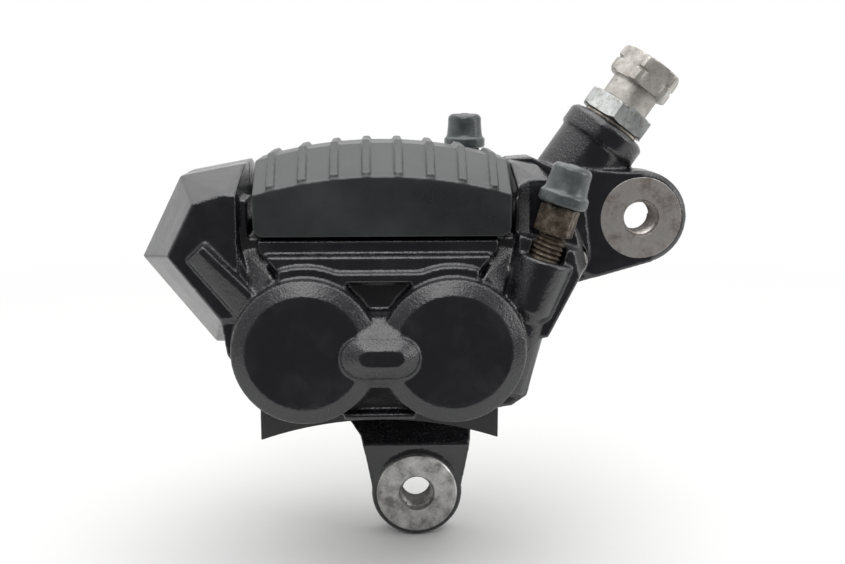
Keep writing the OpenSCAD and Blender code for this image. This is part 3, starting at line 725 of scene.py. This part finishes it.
# ---- Pad pins, clips and spring ----
# The pads hang on two ground steel pins, each held by a sprung wire clip through its end. A stamped
# sheet spring lies on the pads' ears and stops their rattle.
pin_steel = finish_of("pin_steel", (0.4, 0.4, 0.4), 0.3, 1.0)
scores = grain(pin_steel, 700, 4.0)
feed(pin_steel, Base_Color=stepped(pin_steel, scores, (0.35, (0.22, 0.2, 0.18)), (0.6, (0.5, 0.5, 0.5))),
     Roughness=stepped(pin_steel, scores, (0.3, (0.5,)), (0.7, (0.24,))))
spring_steel = finish_of("spring_steel", (0.5, 0.5, 0.48), 0.28, 1.0)
tint = grain(spring_steel, 260, 4.0)
feed(spring_steel,
     Base_Color=stepped(spring_steel, tint, (0.35, (0.4, 0.38, 0.34)), (0.65, (0.6, 0.6, 0.58))),
     Roughness=stepped(spring_steel, tint, (0.3, (0.4,)), (0.7, (0.22,))))
for side in ("left", "right"):
    pin = rounded(copy_of(side + "_pad_pin", side + "_pin"), 0.0003)
    shade(pin, pin_steel, 35)
    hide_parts(side + "_pad_pin")
    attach(pin, "caliper")
for node in ("left_pin_clip", "right_pin_clip", "pad_spring"):
    shade(frame["nodes"][node], spring_steel)

# ---- Pistons and seals ----
# Four anodised cup pistons, polished on the outside, slide in square-cut fluid seals, with a dust seal at
# each bore's mouth. They are seen only between the pads and the halves.
piston_skin = finish_of("piston_skin", (0.6, 0.58, 0.54), 0.18, 1.0)
wear = grain(piston_skin, 340, 4.0)
feed(piston_skin,
     Base_Color=stepped(piston_skin, wear, (0.3, (0.45, 0.42, 0.38)), (0.7, (0.66, 0.65, 0.62))),
     Roughness=stepped(piston_skin, wear, (0.3, (0.3,)), (0.7, (0.14,))))
seal_rubber = finish_of("seal_rubber", (0.02, 0.02, 0.02), 0.55)
feed(seal_rubber, Normal=relief(seal_rubber, grain(seal_rubber, 2200, 3.0), 0.00005, 0.5),
     Roughness=stepped(seal_rubber, grain(seal_rubber, 400, 3.0), (0.3, (0.45,)), (0.7, (0.65,))))
for node, cad in frame["nodes"].items():
    if node.endswith("_piston"):
        shade(cad, piston_skin)
    if node.endswith(("_seals", "_seal")):
        shade(cad, seal_rubber)

# ---- Table, lights and camera ----
# A white table, lit only by the lamps near the part, that blends by distance into a painted white glow (an
# emission standing in for a white sweep); a large soft light overhead, a smaller one above the viewer and a faint
# one at the right.
# The room in front is dark, so faces turned to the viewer stay black and faces turned up shine. The camera looks a
# little down.
table_gap = 0.0002
table_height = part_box("inner_body")[0].z - table_gap
table_front, table_reach = -0.16, 3.0
build = bmesh.new()
corners = [(-table_reach, table_front, 0), (table_reach, table_front, 0), (table_reach, table_reach, 0),
           (-table_reach, table_reach, 0)]
build.faces.new([build.verts.new(c) for c in corners])
surface = bpy.data.meshes.new("table_top")
build.to_mesh(surface)
build.free()
table_top = linked("table_top", surface)
table_top.location.z = table_height
table_white = finish_of("table_white", (0.56, 0.56, 0.55), 0.6)
feed(table_white, Base_Color=stepped(table_white, grain(table_white, 3, 3.0), (0.3, (0.58, 0.585, 0.577)),
                                     (0.7, (0.62, 0.622, 0.615))))
# Painted light: with distance from the part the table turns into a plain white glow (emission), so it is brighter
# further out and greyer near the part.
fade = add(table_white, "ShaderNodeVectorMath", operation="LENGTH")
join(table_white, add(table_white, "ShaderNodeTexCoord").outputs["Object"], fade.inputs[0])
edge = add(table_white, "ShaderNodeMapRange", interpolation_type="SMOOTHSTEP")
for key, value in (("From Min", 0.17), ("From Max", 0.6), ("To Min", 0.0), ("To Max", 1.0)):
    edge.inputs[key].default_value = value
join(table_white, fade.outputs["Value"], edge.inputs["Value"])
painted_glow = add(table_white, "ShaderNodeEmission", Color=(1, 1, 1, 1), Strength=1.0)
sweep = add(table_white, "ShaderNodeMixShader")
join(table_white, edge.outputs["Result"], sweep.inputs[0])
join(table_white, table_white.node_tree.nodes["Principled BSDF"].outputs[0], sweep.inputs[1])
join(table_white, painted_glow.outputs[0], sweep.inputs[2])
join(table_white, sweep.outputs[0], table_white.node_tree.nodes["Material Output"].inputs["Surface"])
table_top.data.materials.append(table_white)
table_top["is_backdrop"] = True


middle = (cad_low + cad_high) / 2


def soft_light(name, place, size, power):
    """A square soft light that faces the middle of the part."""
    lamp = bpy.data.lights.new(name, "AREA")
    lamp.size = size
    lamp.energy = power
    holder = linked(name, lamp)
    holder.location = place
    holder.rotation_euler = (middle - Vector(place)).to_track_quat("-Z", "Y").to_euler()


soft_light("overhead", (0.0, 0.05, 0.9), size=1.1, power=9.0)
soft_light("above_front", (-0.1, -0.75, 0.82), size=0.6, power=3.6)
soft_light("right_side", (0.85, -0.3, 0.3), size=0.45, power=2.0)

world = bpy.data.worlds.new("studio")
bpy.context.scene.world = world
world.use_nodes = True
sky = world.node_tree
room = sky.nodes["Background"]
where = sky.nodes.new("ShaderNodeTexCoord")
parts = sky.nodes.new("ShaderNodeSeparateXYZ")
sky.links.new(where.outputs["Generated"], parts.inputs["Vector"])
sideways = sky.nodes.new("ShaderNodeMath")
sideways.operation = "ABSOLUTE"
sky.links.new(parts.outputs["X"], sideways.inputs[0])
level = sky.nodes.new("ShaderNodeMath")
level.operation = "MULTIPLY_ADD"
level.inputs[1].default_value = 0.5
sky.links.new(sideways.outputs[0], level.inputs[0])
sky.links.new(parts.outputs["Y"], level.inputs[2])
tilt = sky.nodes.new("ShaderNodeMath")
tilt.operation = "MULTIPLY_ADD"
tilt.inputs[1].default_value = 0.75
sky.links.new(parts.outputs["Z"], tilt.inputs[0])
sky.links.new(level.outputs[0], tilt.inputs[2])
toward = sky.nodes.new("ShaderNodeMapRange")
for key, value in (("From Min", -0.6), ("From Max", 0.35), ("To Min", 0.14), ("To Max", 0.95)):
    toward.inputs[key].default_value = value
sky.links.new(tilt.outputs[0], toward.inputs["Value"])
eye = sky.nodes.new("ShaderNodeLightPath")
seen = sky.nodes.new("ShaderNodeMix")
sky.links.new(eye.outputs["Is Camera Ray"], seen.inputs[0])
sky.links.new(toward.outputs["Result"], seen.inputs[2])
seen.inputs[3].default_value = 1.0
sky.links.new(seen.outputs[0], room.inputs["Strength"])
room.inputs["Color"].default_value = (1.0, 1.0, 1.0, 1)

bpy.context.scene.view_settings.view_transform = "Standard"
lens = bpy.data.cameras.new("viewer")
viewer = linked("viewer", lens)
bpy.context.scene.camera = viewer
lens.sensor_width = 36
lens.lens = 46.86
viewer.location = (-0.0108, -0.3199, 0.1242)
looking = Vector((0.0390, 0.9818, -0.1858))
viewer.rotation_euler = looking.to_track_quat("-Z", "Y").to_euler()

low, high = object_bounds()
